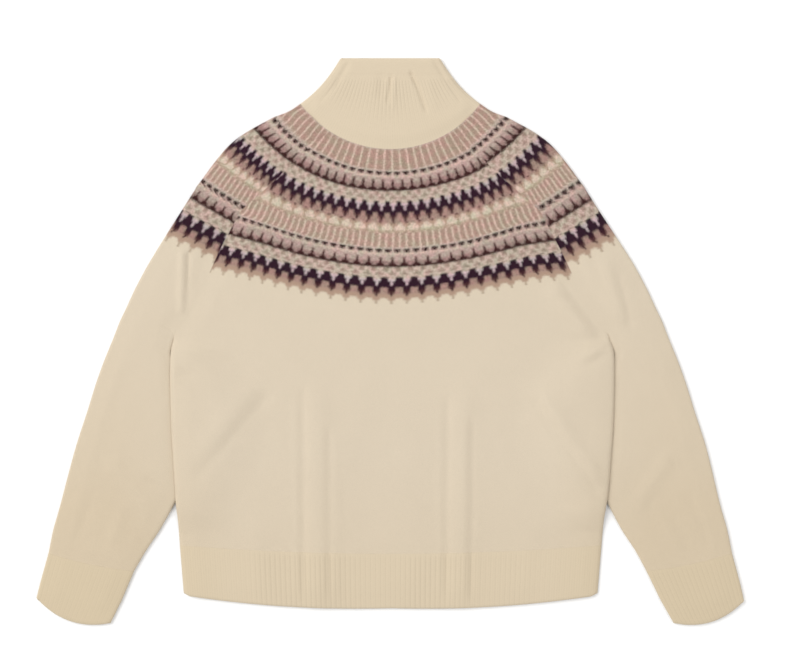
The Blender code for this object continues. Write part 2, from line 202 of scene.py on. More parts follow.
# Creases: from x, y to x, y, half width, height.  Less than 0 is a trough.
BODY_FOLDS = (
    (-91, -60, -88, -330, 24, 2.6), (91, -55, 88, -330, 24, 2.4),
    (-169, -54, -236, -140, 22, 2), (188, -60, 252, -175, 22, 2.2),
    (200, 66, 250, 8, 16, 2.4), (-271, -26, -267, -50, 10, 1.2), (279, 5, 240, -20, 11, 1.5),
)
SLEEVE_FOLDS = (
    (-260, 112, -261, 38, 7.5, 2.2), (268, 100, 290, 28, 14, 2.4),
    (-352, -150, -300, -205, 14, 1.8), (350, -140, 305, -210, 14, 1.8),
)
FRONT_CREASES = (
    (-109, -60, -108, -330, 7, -1.3), (-118, -80, -117, -330, 8, 0.5),
    (-77, -110, -76, -330, 6, -1), (-66, -120, -66, -330, 8, 0.4),
    (72, -70, 70, -330, 7, -1.2), (63, -90, 61, -330, 7, 0.4),
    (103, -95, 101, -330, 6, -1.2), (93, -100, 91, -330, 7, 0.4),
    (-152, -64, -242, -170, 10, -1.2), (181, -72, 260, -190, 9, -1.7),
    (192, -70, 262, -170, 9, 0.9), (-279, -38, -245, -41, 8, -1.7),
    (280, -8, 244, -31, 8, -1.6), (216, 76, 266, 8, 6, -1.7), (202, 70, 248, 12, 7, 0.9),
    (-222, 72, -205, 50, 6, -0.9), (-30, -20, -60, -160, 26, 0.5),
    (20, -140, 30, -300, 30, 0.5), (-170, -220, -160, -320, 20, 0.6),
    (175, -240, 165, -325, 18, 0.6), (234, -233, 258, -238, 4, -0.9),
)
BACK_CREASES = (
    (-120, -60, -110, -320, 16, 0.7), (-30, -110, -36, -330, 20, 0.5),
    (64, -80, 74, -325, 18, 0.6), (150, -20, 110, -190, 14, 0.7),
    (-160, 40, -120, -90, 16, 0.5),
)
SLEEVE_CREASES = (
    (-252, 112, -253.5, 36, 4, -1.4), (286, 84, 300, 18, 7, -0.8),
    (-340, -30, -372, -110, 16, 0.6), (345, -20, 378, -120, 16, 0.6),
    (-330, -200, -352, -262, 12, 0.7), (333, -205, 362, -262, 12, 0.7),
    (-304, -169, -270, -190, 5, -1.4), (-372, -190, -392, -250, 10, -0.6),
    (376, -195, 398, -250, 10, -0.6),
)
NECK_CREASES = (
    (25.5, 337, 33, 321, 3.5, -2), (33, 323, 45, 288, 4, -1.6), (47, 328, 57, 292, 8, 0.6),
    (1, 332, -3, 300, 3.5, -1.5), (-10, 333, -12, 304, 9, -1.3), (6, 334, 4, 292, 3, 0.6),
    (-52, 350, -68, 322, 6, -1.4), (-68, 322, -88, 300, 5, -0.9),
    (55, 352, 68, 330, 5, -1.4), (68, 330, 88, 300, 4, -0.9),
)
FRONT_LOFT = 1.6  # how far the front stands off the back, away from its edges
SLEEVE_LOFT = 1.4
NECK_LOFT = 2.0
# Over what way, or up to what level, sleeve, cuff and neck rise to it from their edges
SEAM_EASE = 25.0
FOLD_EASE = 26.0
CUFF_EASE = 20.0
BESIDE_BODY = ((0.4, -0.5, 1.5), (0.6, 0.5, 14))  # share, and from where to where
NECK_EASE = 14.0
NECK_SEAM_EASE = 0.2
NECK_TOP_EASE = 1.7
WAVE = 0.22  # unevenness of the cloth, everywhere

# The chart's rows against the depth below the neck seam
CHART = (
    (0, 0), (25.2, 9), (26.9, 10), (31.7, 12), (53.2, 20), (65.3, 25), (87.7, 33),
    (101.4, 38), (121.2, 45), (123, 46), (128, 48), (146.8, 55), (159.4, 60), (180.4, 68),
    (193.9, 73), (600, 224),
)
PATTERN_SHIFT = ((0, 0.028), (90, 0.024), (125, 0.015), (182, 0.006))
MIDDLE_EASE = 0.07  # how much wider the stitches lie in the middle than at the seams
MOST_LEAN = 0.03
LEAN_SMOOTHING = 8  # how often the leans of neighbouring rows are averaged

# How unevenly the front's pattern lies: what is added to the row and to the place, by row
# and by place across
LIE_PLACES = (-1, -0.8, -0.5, 0, 0.5, 0.8, 1)
ROW_LIE = (
    (0, (0, 0, 0, 0, 0, 0, 0)),
    (12, (-0.2, -0.2, -0.4, -0.3, -0.6, -0.9, -1.1)),
    (20, (0.5, 0.2, 0.2, 0.5, 0.2, -0.5, -0.4)),
    (29, (0.5, 0.1, 0.4, 0.2, 0.1, -0.2, -0.2)),
    (36, (0.5, 0, -0.1, -0.9, -0.6, -0.5, -1)),
    (46, (0.5, 1.5, 0.8, -0.6, -0.2, 0.1, -2)),
    (52, (-0.5, 1, 0.7, -0.1, -0.1, -0.2, -2.9)),
    (60, (-1.2, 0.7, 0.9, 0, 0.2, -1.1, -4.5)),
    (66, (-1.5, 0.9, 1, 0, 0.6, -0.9, -4.9)),
    (73, (-2, 0.5, 0.8, -0.1, 0.4, -1, -4.9)),
)
PLACE_LIE = (
    (0, (0.030, 0.018, 0.013, 0.003, 0.008, 0.015, 0.018)),
    (20, (0.045, 0.018, 0.016, 0, 0.001, 0.006, 0.006)),
    (37, (0.030, 0.010, 0.010, 0, 0.002, 0.010, 0.020)),
    (38, (0.005, -0.005, -0.004, 0, 0.001, 0.006, 0.003)),
    (52, (0, -0.006, -0.003, 0, -0.004, -0.004, -0.004)),
    (60, (-0.008, -0.009, -0.001, 0, -0.012, -0.017, -0.017)),
    (73, (-0.020, -0.022, -0.004, 0, -0.002, -0.010, -0.012)),
)

# The pattern's rows on each sleeve: y along its raglan seam, y along its fold, row
SLEEVE_ROWS = {
    -1: (
        (263.3, 298.1, 0), (253.8, 291, 5), (238.6, 279.3, 11.7), (223.4, 267.8, 20),
        (204.9, 252.4, 29), (190.1, 232.4, 36), (170.2, 205.1, 46), (157, 189.8, 51.7),
        (136.1, 167, 60), (117.7, 147.9, 66.3), (105.4, 134.4, 70.8), (11.3, 42, 100),
    ),
    1: (
        (263.3, 298.1, 0), (253.8, 291, 5), (239, 280, 11.8), (224.4, 268.5, 20),
        (204.4, 252.4, 29.3), (188.5, 231.7, 36.1), (168.7, 203.5, 46.2), (153, 187.1, 51.9),
        (130.6, 164.1, 60.1), (112.3, 144.7, 66.3), (97.5, 130.3, 70.9), (11.3, 42, 100),
    ),
}
# How far round the yoke a sleeve's half reaches, by row, and how far its columns are
# turned at its seam and at its fold
SLEEVE_SPREADS = (
    (0, 0.30), (20, 0.272), (37, 0.276), (38, 0.22), (45, 0.22), (46, 0.19), (73, 0.174),
)
SLEEVE_TURNS = {
    -1: (
        (0, -0.011, -0.052), (9, -0.011, -0.052), (12, 0.01, -0.055), (20, 0.042, -0.013),
        (29, 0.055, -0.005), (37.9, 0.055, -0.01), (38, 0, 0.01), (45.9, 0, 0.01),
        (46, -0.004, 0.017), (47.9, -0.004, 0.017), (48, -0.045, -0.014),
        (60, -0.038, -0.018), (73, -0.026, -0.008),
    ),
    1: (
        (0, -0.012, 0.03), (9, -0.012, 0.03), (12, -0.024, 0.019), (19.9, -0.07, 0),
        (20, 0.02, -0.035), (37.9, 0.02, -0.025), (38, -0.02, 0), (45.9, -0.02, 0),
        (46, 0.037, -0.022), (47.9, 0.037, -0.022), (48, -0.014, -0.024),
        (60, -0.022, -0.036), (73, -0.032, -0.05),
    ),
}

# Colours, as they look in the scene's light, in sRGB from 0 to 255
LIGHT = 1.16  # how much brighter than its colour the light shows a surface


def seen(red, green, blue):
    """The linear colour of a yarn that this light shows as the given one."""
    shares = [value / 255 for value in (red, green, blue)]
    linear = [((share + 0.055) / 1.055) ** 2.4 for share in shares]
    return tuple(value / LIGHT for value in linear)


# The _EDGE creams are painted darker and warmer, as shade, toward the hem and down the sleeves
CREAM = seen(230, 215, 192)
CREAM_EDGE = seen(223, 205, 177)
RIB_CREAM = seen(217, 201, 176)
RIB_CREAM_EDGE = seen(210, 193, 164)
SHELL = seen(206, 186, 175)
BLACK = (0.0, 0.0, 0.0)
WHITE = (1.0, 1.0, 1.0)

# The pattern: the yarn that a letter means, and one repeat of each band, from the neck down
YARNS = {
    "c": CREAM,
    "b": SHELL,
    "p": seen(220, 196, 180),  # pale pink
    "d": seen(179, 151, 136),  # dusty pink
    "t": seen(194, 170, 161),  # taupe
    "r": seen(168, 139, 133),  # rose
    "a": seen(206, 186, 172),  # linen
    "o": seen(166, 145, 131),  # olive
    "l": seen(210, 190, 194),  # lilac
    "m": seen(174, 143, 132),  # mauve
    "n": seen(184, 155, 135),  # tan
    "e": seen(226, 206, 188),  # peach
    "s": seen(190, 170, 148),  # sand
    "k": seen(34, 8, 4),  # charcoal
    "K": seen(42, 28, 36),  # ink
    "D": seen(45, 12, 34),  # plum
    "B": seen(58, 20, 30),  # dark brown
    "u": seen(62, 26, 26),  # the cups of the scallops
    "U": seen(54, 26, 24),  # umber
    "h": seen(116, 82, 78),  # haze, where a dark yarn meets a pale one
}
WIDE_STRIPES = ["pddd"]
NARROW_STRIPES = ["pdd"]
DOTS = "bkkk brkr".split()
UPPER_SCALLOPS = "bppp bttt httt uttt urrr urrr uuru UUUU".split()
LOWER_SCALLOPS = "bpppp btttt htttt utttt urrrr uurru UUUUU".split()
LATTICE = "aaooa aaooa oaaaa ooaao aaaaa".split()
UPPER_ZIGZAG = "aaKKa llDDl lDDDD lDDDD DDDDD DDmmD Bhmmh Bmmmm".split()
LOWER_ZIGZAG = "aaKKKa llDDDl lDDDDD lDDDDD DDDDDD DDmmmD BBmmmB Bhmmmh".split()
BLOBS = "hmmmm nneen neeee seeee sssss".split()
TEETH = "Bnnnnn nnnnnn nncccn sccccc sccccc".split()


class Band(NamedTuple):
    """A stretch of the yoke, with one repeat of its chart."""

    start: int
    rows: int
    repeat: list
    halves: float  # repeats from the front's middle to its seam
    shade: float  # how much darker it looks toward the seam


BANDS = (
    Band(0, 9, WIDE_STRIPES, 10.2, 0.0),
    Band(10, 2, DOTS, 10.5, 0.03),
    Band(12, 8, UPPER_SCALLOPS, 10.7, 0.02),
    Band(20, 5, LATTICE, 10.8, 0.0),
    Band(25, 8, UPPER_ZIGZAG, 11.07, 0.04),
    Band(33, 5, BLOBS, 11.07, 0.04),
    Band(38, 7, NARROW_STRIPES, 24.0, 0.01),
    Band(46, 2, DOTS, 18.2, 0.08),
    Band(48, 7, LOWER_SCALLOPS, 14.8, 0.07),
    Band(55, 5, LATTICE, 14.8, 0.01),
    Band(60, 8, LOWER_ZIGZAG, 12.65, 0.07),
    Band(68, 5, TEETH, 12.65, 0.03),
)
YOKE_ROWS = 73
SHADED_PLACES = (0.3, 0.55)  # between which the shade grows

# Wool
WOOL = {
    "Roughness": 0.92,
    "Specular IOR Level": 0.18,
    "Sheen Weight": 0.22,
    "Sheen Roughness": 0.45,
    "Sheen Tint": (0.95, 0.90, 0.82, 1.0),
}
V_DEPTH = 0.6  # how far a stitch's middle hangs below its shoulders, in rows
FRAY = 2.4  # how far hairs blur the edge between yarns, in stitches
HEATHER = (110.0, 3.0, (1.07, 0.96, 0.99), (0.93, 1.03, 0.96))  # its noise and its tints
FLECKS = (480.0, 2.6, (0.81, 0.80, 0.80), (1.18, 1.18, 1.19))
GROUND_SHADE = 0.84  # between yarns, and what yarn, fuzz and patches add
YARN_SHADE = 0.2
FUZZ_SHADE = 0.16
PATCH_SHADE = 0.05
YARN_RELIEF = 0.5
FUZZ_RELIEF = 0.5  # as a share of a yarn's
# Painted shade: how dark the grooves between the ribs are coloured
GROOVE_SHADE = (0.96, 0.96, 0.96)

# How far the cream is painted darker and warmer, as shade away from the brighter middle, from 0
# to 1, by places in metres
LEAST_WARMTH = 0.15
HEM_WARMTH = 0.3
HEM_Y = (-0.14, -0.26)
SLEEVE_X = (0.2, 0.35)
SLEEVE_WARMTH = 2.2  # for each metre down the sleeve
SLEEVE_WARMTH_START = 0.22

# Stage
WORLD_LIGHT = 0.78
LAMPS = (  # name, place and size in metres, power
    ("key", (-3.8, 2.0, 4.4), 4.2, 245.0),
    ("fill", (1.9, -0.6, 2.0), 2.2, 10.0),
)
CAMERA_X = 5.9
CAMERA_Y = 11.9
VIEW_WIDTH = 987.5  # across the image, at the upper layer
LENS = 100.0
SENSOR = 36.0


# Tables and curves


def ramp(value, start, end):
    """Rises smoothly from 0 at start to 1 at end."""
    t = np.clip((value - start) / (end - start), 0, 1)
    return t * t * (3 - 2 * t)


def lookup(table, value):
    keys, values = zip(*table)
    return np.interp(value, keys, values)


def spline(table, t):
    """The smooth curve through a table's rows, at the stations t."""
    rows = np.array(table, float)
    rows = np.vstack([2 * rows[0] - rows[1], rows, 2 * rows[-1] - rows[-2]])
    i = np.clip(np.floor(t).astype(int), 0, len(table) - 2)
    f = (t - i)[:, None]
    a, b, c, d = rows[i], rows[i + 1], rows[i + 2], rows[i + 3]
    curve = (c - a) + f * ((2 * a - 5 * b + 4 * c - d) + f * (3 * (b - c) + d - a))
    return b + f * curve / 2


def stations(last, steps, close=0.4):
    """Stations from 0 to last, steps to each whole one, with more near both ends."""
    even = np.linspace(0, last, last * steps + 1)
    near = close / steps * CLOSE_STATIONS
    return np.unique(np.concatenate([even, near, last - near]))


def spread(count, margin):
    """Places from -1 to 1, with more of them near both ends."""
    even = np.linspace(-1, 1, count + 1)
    near = margin * CLOSE_PLACES
    return np.unique(np.concatenate([even, 1 - near, near - 1]))


def rounding(distance, width):
    """A quarter round: 1 at an edge, falling to 0 at width from it."""
    t = 1 - np.clip(distance / width, 0, 1)
    return 1 - np.sqrt(1 - t * t)


def length_down(line):
    """How far down a line each of its points lies, as a column."""
    steps = np.linalg.norm(np.diff(line, axis=0), axis=1)
    return np.concatenate([[0], np.cumsum(steps)])[:, None]


# Heights


def side_x(side, y):
    rows = np.array((FRONT_YOKE[-1],) + BODY)
    return np.interp(-y, -rows[:, 2], rows[:, 1] + side * rows[:, 0])


def cover_lift(x, y):
    """How high the body's underside lies above the surface, over the tucked sleeves."""
    rows = np.array(SLEEVE)
    tuck = np.interp(-y, -rows[:, 2], np.maximum(rows[:, 3], 0), left=0, right=0)
    inside = np.minimum(x - side_x(-1, y), side_x(1, y) - x)
    along = np.minimum(ramp(y, *COVER_START), ramp(y, *COVER_END))
    reach = tuck + COVER_MARGIN
    return SLEEVE_COVER * along * ramp(inside, reach + COVER_FALL, reach)


def crease_height(x, y, creases):
    total = np.zeros_like(x)
    for x0, y0, x1, y1, half_width, height in creases:
        run_x, run_y = x1 - x0, y1 - y0
        length = math.hypot(run_x, run_y)
        along = ((x - x0) * run_x + (y - y0) * run_y) / length
        across = ((x - x0) * run_y - (y - y0) * run_x) / length
        ends = ramp(along, -half_width, half_width)
        ends *= ramp(along, length + half_width, length - half_width)
        total += height * ends * np.exp(-2 * (across / half_width) ** 2)
    return total


def waves(x, y):
    """The slight unevenness of pressed knitting, from -1 to 1."""
    slow = np.sin(x / 31 + 1.3 * np.sin(y / 57)) * np.sin(y / 43 + np.sin(x / 71))
    quick = np.sin(x / 13.7 + 2.1 * np.sin(y / 29)) * np.sin(y / 17.3 + np.sin(x / 23))
    return 0.6 * slow + 0.4 * quick


def body_height(x, y, edge):
    """What the front adds to its flat height, by the way to its nearest edge."""
    free = ramp(edge, 0, BODY_EASE) * ramp(y, *HEM_EASE)
    creases = crease_height(x, y, FRONT_CREASES) + FRONT_LOFT + WAVE * waves(x, y)
    folds = crease_height(x, y, BODY_FOLDS)
    return cover_lift(x, y) + folds + free * np.maximum(creases, 0)


# Shells


def grid(*parts):
    return np.stack(np.broadcast_arrays(*parts), -1)


def quads(ids):
    corners = ids[:-1, :-1], ids[:-1, 1:], ids[1:, 1:], ids[1:, :-1]
    return np.stack(corners, -1).reshape(-1, 4)


def skin_and_rims(upper, lower, closed):
    grids = [quads(upper), quads(lower)[:, ::-1]]
    rims = [np.stack([lower[0], upper[0]]), np.stack([upper[-1], lower[-1]])]
    if not closed:
        rims += [np.stack([upper[:, 0], lower[:, 0]])]
        rims += [np.stack([lower[:, -1], upper[:, -1]])]
    return np.concatenate(grids + [quads(rim) for rim in rims])


def shell_mesh(name, outer, inner, coordinates, closed):
    """The mesh between two grids, in metres.  A closed one is a ring of columns."""
    rows, columns = outer.shape[:2]
    points = np.concatenate([outer.reshape(-1, 3), inner.reshape(-1, 3)]) * MM
    wide = columns + 1 if closed else columns
    upper = np.arange(rows)[:, None] * columns + np.arange(wide) % columns
    place = np.arange(rows * wide).reshape(rows, wide)
    faces = skin_and_rims(upper, upper + rows * columns, closed)
    corners = skin_and_rims(place, place, closed)
    mesh = bpy.data.meshes.new(name)
    mesh.from_pydata(points.tolist(), [], faces.tolist())
    for layer, pairs in coordinates.items():
        values = np.broadcast_to(pairs, (rows, wide, 2)).reshape(-1, 2)[corners.reshape(-1)]
        mesh.uv_layers.new(name=layer).uv.foreach_set("vector", values.ravel())
    return mesh


def shell(name, outer, inner, coordinates, material, closed=False):
    """The closed shell between two grids that replaces a CAD node."""
    mesh = shell_mesh(name, outer, inner, coordinates, closed)
    solid = bmesh.new()
    solid.from_mesh(mesh)
    bmesh.ops.recalc_face_normals(solid, faces=solid.faces)
    solid.to_mesh(mesh)
    solid.free()
    mesh.shade_smooth()
    mesh.set_sharp_from_angle(angle=math.radians(55))
    mesh.materials.append(material)
    piece = bpy.data.objects.new(name + "_knitting", mesh)
    bpy.context.collection.objects.link(piece)
    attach(piece, "root")
    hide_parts(name)
    return piece


# Coordinates of the yoke


def column_lean(x, y, place, row):
    """How the place changes from row to row down a line that is square to the rows."""
    along = np.stack([np.gradient(x, axis=1), np.gradient(y, axis=1)])
    down = np.stack([np.gradient(x, axis=0), np.gradient(y, axis=0)])
    row_step = np.maximum(np.gradient(row, axis=0), 0.01)
    slide = -(along * down).sum(0) / np.maximum((along**2).sum(0), 1e-6)
    lean = np.clip(slide * np.gradient(place, axis=1) / row_step, -MOST_LEAN, MOST_LEAN)
    for _ in range(LEAN_SMOOTHING):
        lean[1:-1] = (lean[:-2] + 2 * lean[1:-1] + lean[2:]) / 4
    return grid(lean, 0.0)


def lie(table, row, place):
    """What a table by row and place adds, smooth from place to place."""
    rows, values = zip(*table)
    columns = [np.interp(row, rows, column) for column in zip(*values)]
    at = np.interp(place, LIE_PLACES, np.arange(len(LIE_PLACES)))
    shares = spline(np.eye(len(LIE_PLACES)), np.ravel(at)).T
    return sum(c * share.reshape(np.shape(at)) for c, share in zip(columns, shares))


def yoke_coordinates(knit, x, y, place, row):
    lean = column_lean(x, y, place, row)
    return {"Knit": knit, "Yoke": grid(place, row), "Lean": lean}


def panel_coordinates(x, y, depth, places):
    knit = grid(x / STITCH_WIDTH, depth / STITCH_HEIGHT)
    shifted = places - lookup(PATTERN_SHIFT, depth)
    eased = shifted * (1 - MIDDLE_EASE * (1 - shifted**2))
    even = lookup(CHART, depth)
    row = even + lie(ROW_LIE, even, places)
    place = eased + lie(PLACE_LIE, even, places)
    return yoke_coordinates(knit, x, y, place, row)


def sleeve_coordinates(side, front, fold, skin):
    seam_y, fold_y, rows = np.array(SLEEVE_ROWS[side]).T
    seam_row = np.interp(-front[:, 1:], -seam_y, rows)
    fold_row = np.interp(-fold[:, 1:], -fold_y, rows)
    row = fold_row + (seam_row - fold_row) * skin.around
    at, at_seam, at_fold = zip(*SLEEVE_TURNS[side])
    seam_turn, fold_turn = np.interp(row, at, at_seam), np.interp(row, at, at_fold)
    turn = fold_turn + (seam_turn - fold_turn) * skin.around
    place = side * (1 + 2 * lookup(SLEEVE_SPREADS, row) * skin.turned()) + turn
    knit = grid(side * skin.way / STITCH_WIDTH, length_down(fold) / STITCH_HEIGHT)
    return yoke_coordinates(knit, skin.x, skin.y, place, row)


# Body panels


def course_points(rows, places):
    half, middle_x, side_y, middle_y = (column[:, None] for column in rows.T)
    rise = side_y - middle_y
    radius = (half**2 + rise**2) / (2 * rise)
    angle = np.arcsin(half / radius) * places[None, :]
    x = middle_x + radius * np.sin(angle)
    return x, middle_y + radius * (1 - np.cos(angle))


def panel(yoke_rows, steps, columns):
    """A body panel's plan, its depth below the neck seam, and the way to its sides."""
    t = stations(len(FRONT_YOKE + BODY) - 1, steps)
    places = spread(columns, margin=0.035)
    x, y = course_points(spline(yoke_rows + BODY, t), places)
    depth = FRONT_YOKE[0][3] - spline(FRONT_YOKE + BODY, t)[:, 3:]
    half = spline(yoke_rows + BODY, t)[:, :1]
    side = half * (1 - np.abs(places[None, :]))
    return t[:, None], x, y, depth, side, places


def below_underarm(t):
    return ramp(t, UNDERARM, UNDERARM + BODY_TURN)


def seam_distance(y):
    """How far each point lies from the nearer end of its column."""
    return np.minimum(np.abs(y - y[0]), np.abs(y - y[-1]))


def panel_drop(t, side, y, most):
    below = below_underarm(t)
    side_drop = most * rounding(side, SIDE_ROUND) * below
    raglan = SEAM_DEPTH * rounding(side, SEAM_ROUND) * (1 - below)
    seams = SEAM_DEPTH * rounding(seam_distance(y), SEAM_ROUND)
    return np.minimum(side_drop + raglan + seams, most)


def side_sink(side, depth):
    """How far a layer of the body sinks, by the way to its side."""
    return depth * rounding(side, SINK_WIDTH)


def make_front(material):
    t, x, y, depth, side, places = panel(FRONT_YOKE, steps=8, columns=160)
    sink = side_sink(side, TOP_SINK) * below_underarm(t)
    lift = body_height(x, y, np.minimum(side, depth)) - sink
    outer = grid(x, y, UPPER_TOP + lift - panel_drop(t, side, y, MOST_DROP))
    inner = grid(x, y, UPPER_BOTTOM + lift)
    return shell("front", outer, inner, panel_coordinates(x, y, depth, places), material)


def make_back(material):
    t, x, y, depth, side, places = panel(BACK_YOKE, steps=5, columns=110)
    lift = cover_lift(x, y)
    sink = side_sink(side, SIDE_SINK) * below_underarm(t)
    grooves = np.maximum(crease_height(x, y, BACK_CREASES), 0) * ramp(side, 0, BACK_EASE)
    drop = panel_drop(t, side, y, MOST_DROP - SIDE_SINK) + grooves
    outer = grid(x, y, lift + np.minimum(drop, MOST_DROP - sink))
    inner = grid(x, y, lift + LOWER_TOP - sink)
    return shell("back", outer, inner, panel_coordinates(x, y, depth, places), material)


# Hem ribs


def rib_profile(phase):
    return (0.5 - 0.5 * np.cos(2 * np.pi * phase)) ** 0.7


def rib_coordinates(ribs, rows, strength):
    return {"Knit": grid(ribs, rows), "Ribbing": grid(strength, 0.0)}


def hem_plan(places, t):
    rows = np.array([BODY[-1], HEM_EDGE])
    (top_x, edge_x), (top_y, edge_y) = course_points(rows, places)
    shares = np.abs(edge_x - HEM_EDGE[1]) / HEM_EDGE[0]
    edge_y = edge_y + HEM_CORNER * ramp(shares, 1 - HEM_CORNER_SHARE, 1)
    edge_y = edge_y - HEM_SWELL * np.sin(np.pi * shares)
    top_y = top_y - SEAM_GAP
    t = t[:, None]
    return top_x + (edge_x - top_x) * t, top_y + (edge_y - top_y) * t


def front_hem_heights(x, y, side, rib, ends):
    """The heights of the outside and the inside, from the rounding at both ends."""
    drop = np.minimum(ends + MOST_DROP * rounding(side, SIDE_ROUND), MOST_DROP)
    lift = body_height(x, y, side) - side_sink(side, TOP_SINK)
    return UPPER_TOP + lift + rib - drop, UPPER_BOTTOM + lift


def back_hem_heights(side, rib, ends):
    sink = side_sink(side, SIDE_SINK)
    drop = ends + (MOST_DROP - SIDE_SINK) * rounding(side, SIDE_ROUND)
    return np.minimum(drop + RIB_HEIGHT - rib, MOST_DROP - sink), LOWER_TOP - sink


def make_hem(name, material, front):
    places = spread(HEM_RIBS * HEM_RIB_COLUMNS, margin=0.02)
    t = stations(1, steps=12, close=0.5)
    x, y = hem_plan(places, t)
    length = abs(HEM_EDGE[3] - BODY[-1][3])
    side = HEM_EDGE[0] * (1 - np.abs(places))[None, :]
    down = t[:, None] * length
    ribs = (places[None, :] + 1) / 2 * HEM_RIBS
    strength = ramp(down, 0, RIB_FADE) * lookup(HEM_RIBBING, places)[None, :]
    rib = RIB_HEIGHT * rib_profile(ribs) * strength
    edge = MOST_DROP * rounding(length - down, EDGE_ROUND)
    ends = edge + SEAM_DEPTH * rounding(down, SEAM_ROUND)
    if front:
        outside, inside = front_hem_heights(x, y, side, rib, ends)
    else:
        outside, inside = back_hem_heights(side, rib, ends)
    uvs = rib_coordinates(ribs, down / STITCH_HEIGHT, strength)
    return shell(name, grid(x, y, outside), grid(x, y, inside), uvs, material)


# Tubes laid flat


class Skin(NamedTuple):
    """One side of the cloth where it folds, by how far it lies from the fold's edge."""

    nearest: float
    flat_from: float
    top: float  # its height on the upper layer
    bottom: float

    def bend(self):
        """The distances from the edge and the heights round the fold, from the top."""
        turn = np.linspace(np.pi / 2, -np.pi / 2, FOLD_STEPS)
        inset = self.nearest + (self.flat_from - self.nearest) * (1 - np.cos(turn))
        return inset, MID_HEIGHT + (self.top - self.bottom) / 2 * np.sin(turn)


OUTSIDE = Skin(0.0, FOLD_INSET, UPPER_TOP, 0.0)
INSIDE = Skin(FOLD_INNER_INSET, FOLD_INNER_INSET + FOLD_INNER_DEPTH, UPPER_BOTTOM, LOWER_TOP)


def is_upper(height):
    return height >= MID_HEIGHT - 1e-6


class Tube(NamedTuple):
    """A skin whose rows run from the front seam round the fold to the back seam."""

    x: np.ndarray
    y: np.ndarray
    flat: np.ndarray  # the height before creases and ribs
    way: np.ndarray  # the way from the fold, less than 0 on the lower layer
    inside: np.ndarray  # the way from the seam
    around: np.ndarray  # 1 at both seams and 0 at the fold

    def layered(self, upper, lower=0):
        """One value on the upper layer and another on the lower one."""
        return np.where(is_upper(self.flat), upper, lower)

    def free(self):
        """0 at the fold and at the seam, 1 away from both."""
        return ramp(self.way, 0, FOLD_EASE) * ramp(self.inside, 0, SEAM_EASE)

    def turned(self):
        """Grows from 0 at the front seam to 2 at the back seam."""
        return self.layered(1 - self.around, 1 + self.around)


def mirrored(points, side):
    """The left sleeve's points, or the right one's, which lies fuller."""
    x, y = points[:, 0].copy(), points[:, 1]
    if side > 0:
        x += RIGHT_FULLNESS * ramp(y, *FULLNESS_START) * ramp(y, *FULLNESS_END)
    return np.stack([side * x, y], -1)


def moved_sideways(points, distance):
    """The line moved to its left."""
    way = np.gradient(points, axis=0)
    way /= np.linalg.norm(way, axis=1)[:, None]
    return points + distance * np.stack([-way[:, 1], way[:, 0]], -1)


def bowed(start, end, share, bow):
    """Points between two lines of points, on arcs that bulge to the right."""
    way = end - start
    length = np.linalg.norm(way, axis=1)[:, None]
    right = np.stack([way[:, 1], -way[:, 0]], -1) / length
    bulge = (4 * bow[:, None] * share * (1 - share))[..., None]
    return start[:, None] + way[:, None] * share[..., None] + right[:, None] * bulge


def tube(skin, lines, bows, counts):
    """The tube between the lines of its front seam, its fold and its back seam."""
    front, fold, back = lines
    front_reach = np.linalg.norm(front - fold, axis=1)[:, None]
    back_reach = np.linalg.norm(back - fold, axis=1)[:, None]
    near = TUBE_MARGIN * CLOSE_PLACES
    front_shares = np.union1d(near, np.linspace(0, 1, counts[0] + 1)[:-1])
    back_shares = np.union1d(1 - near, np.linspace(0, 1, counts[1] + 1)[1:])
    inset, height = skin.bend()
    upper = is_upper(height)
    front_bend = np.minimum(inset[upper], front_reach - LEAST_REACH) / front_reach
    back_bend = np.minimum(inset[~upper], back_reach - LEAST_REACH) / back_reach
    back_start = skin.flat_from / back_reach
    front_flat = front_shares * (1 - skin.flat_from / front_reach)
    back_flat = back_start + (1 - back_start) * back_shares
    at_front = np.hstack([front_flat, 1 - front_bend])
    at_back = np.hstack([back_bend, back_flat])
    plan = np.hstack([bowed(front, fold, at_front, bows[0]), bowed(fold, back, at_back, bows[1])])
    tops, bottoms = np.full(len(front_shares), skin.top), np.full(len(back_shares), skin.bottom)
    return Tube(
        x=plan[..., 0],
        y=plan[..., 1],
        flat=np.hstack([tops, height, bottoms]),
        way=np.hstack([(1 - at_front) * front_reach, -at_back * back_reach]),
        inside=np.hstack([at_front * front_reach, (1 - at_back) * back_reach]),
        around=np.hstack([1 - at_front, at_back]),
    )


# Sleeves


def sleeve_lines(side, t):
    """The sleeve's front edge, outer fold and back edge."""
    upper = np.minimum(t, UNDERARM)
    edges = []
    for yoke_rows in (FRONT_YOKE, BACK_YOKE):
        rows = spline(yoke_rows + BODY, upper)
        seam = np.stack([rows[:, 1] + side * rows[:, 0], rows[:, 2]], -1)
        on_yoke = t <= UNDERARM
        seam[on_yoke] = moved_sideways(seam[on_yoke], side * SEAM_GAP)
        seam[~on_yoke] = seam[on_yoke][-1]
        edges.append(seam)
    arm = np.array([(row[0], row[1]) for row in SLEEVE] + [CUFF_JOINT[:2]])
    fold = mirrored(spline(np.vstack([SHOULDER_FOLD, arm]), t), side)
    fold[:, 1] -= SHOULDER_DIP * np.sin(np.pi * np.minimum(t, 1))
    inner = [(side_x(side, row[2]) - side * row[3], row[2]) for row in SLEEVE]
    inner.append((side * CUFF_JOINT[2], CUFF_JOINT[3]))
    inside = spline(inner, np.maximum(t - UNDERARM - 1, 0))
    blend = np.clip(t - UNDERARM, 0, 1)[:, None]
    front, back = (edge + (inside - edge) * blend for edge in edges)
    return front, fold, back


def sleeve_bows(side, t):
    bow = lookup(SLEEVE_BOWS, t)
    back_bow = np.where(t < BACK_BOW_STATION, bow * BACK_BOW_SHARE, bow)
    return bow * side, back_bow * -side


